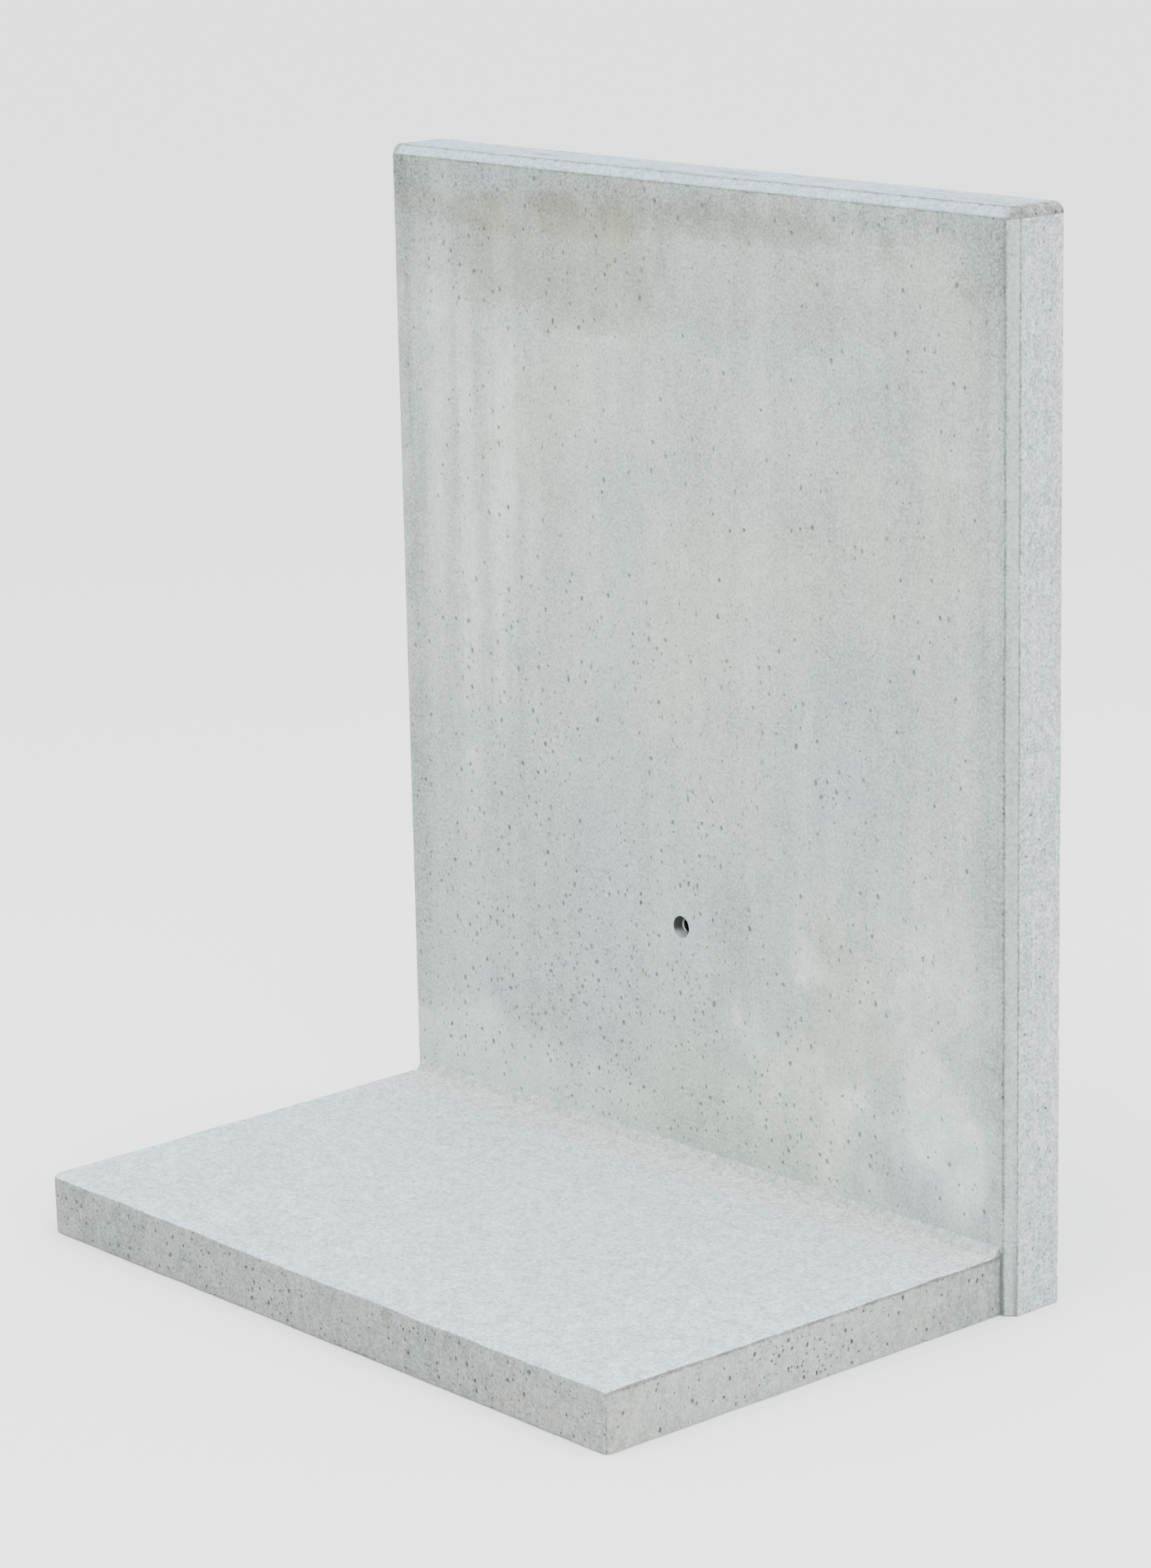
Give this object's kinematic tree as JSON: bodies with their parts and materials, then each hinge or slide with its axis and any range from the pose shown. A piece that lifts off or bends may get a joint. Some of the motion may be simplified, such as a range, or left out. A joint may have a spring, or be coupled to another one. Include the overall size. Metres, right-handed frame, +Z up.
{
  "type": "precast concrete l retaining wall element",
  "caption": "L-shaped precast concrete retaining wall element: upright wall on a flat foot, with a recessed lifting socket and an embedded steel cage.",
  "frame": {"origin": "centre of the bounding box's footprint, on the ground under the foot", "axes": "+Z up the wall, +X along the wall, +Y out of the wall's back face; the foot points to -Y"},
  "size_m": [1, 0.645, 1.2],
  "materials": {
    "concrete": "light grey formed concrete, matte, with bug holes; foot top and wall top trowelled",
    "zinc_plated_steel": "zinc plated, turned",
    "bar_steel": "mill scale with light rust",
    "spacer_concrete": "fibre concrete, matte"
  },
  "bodies": {
    "root": {"concrete_body": "concrete", "lifting_socket": "zinc_plated_steel", "socket_cross_bar": "bar_steel", "bent_bar_1": "bar_steel", "bent_bar_2": "bar_steel", "bent_bar_3": "bar_steel", "bent_bar_4": "bar_steel", "bent_bar_5": "bar_steel", "bent_bar_6": "bar_steel", "wall_bar_1": "bar_steel", "wall_bar_2": "bar_steel", "wall_bar_3": "bar_steel", "wall_bar_4": "bar_steel", "wall_bar_5": "bar_steel", "wall_bar_6": "bar_steel", "wall_bar_7": "bar_steel", "foot_bar_1": "bar_steel", "foot_bar_2": "bar_steel", "foot_bar_3": "bar_steel", "foot_bar_4": "bar_steel", "front_spacer_1": "spacer_concrete", "front_spacer_2": "spacer_concrete", "front_spacer_3": "spacer_concrete", "front_spacer_4": "spacer_concrete", "back_spacer_1": "spacer_concrete", "back_spacer_2": "spacer_concrete", "back_spacer_3": "spacer_concrete", "back_spacer_4": "spacer_concrete", "foot_spacer_1": "spacer_concrete", "foot_spacer_2": "spacer_concrete", "foot_spacer_3": "spacer_concrete", "foot_spacer_4": "spacer_concrete"}
  },
  "joints": []
}
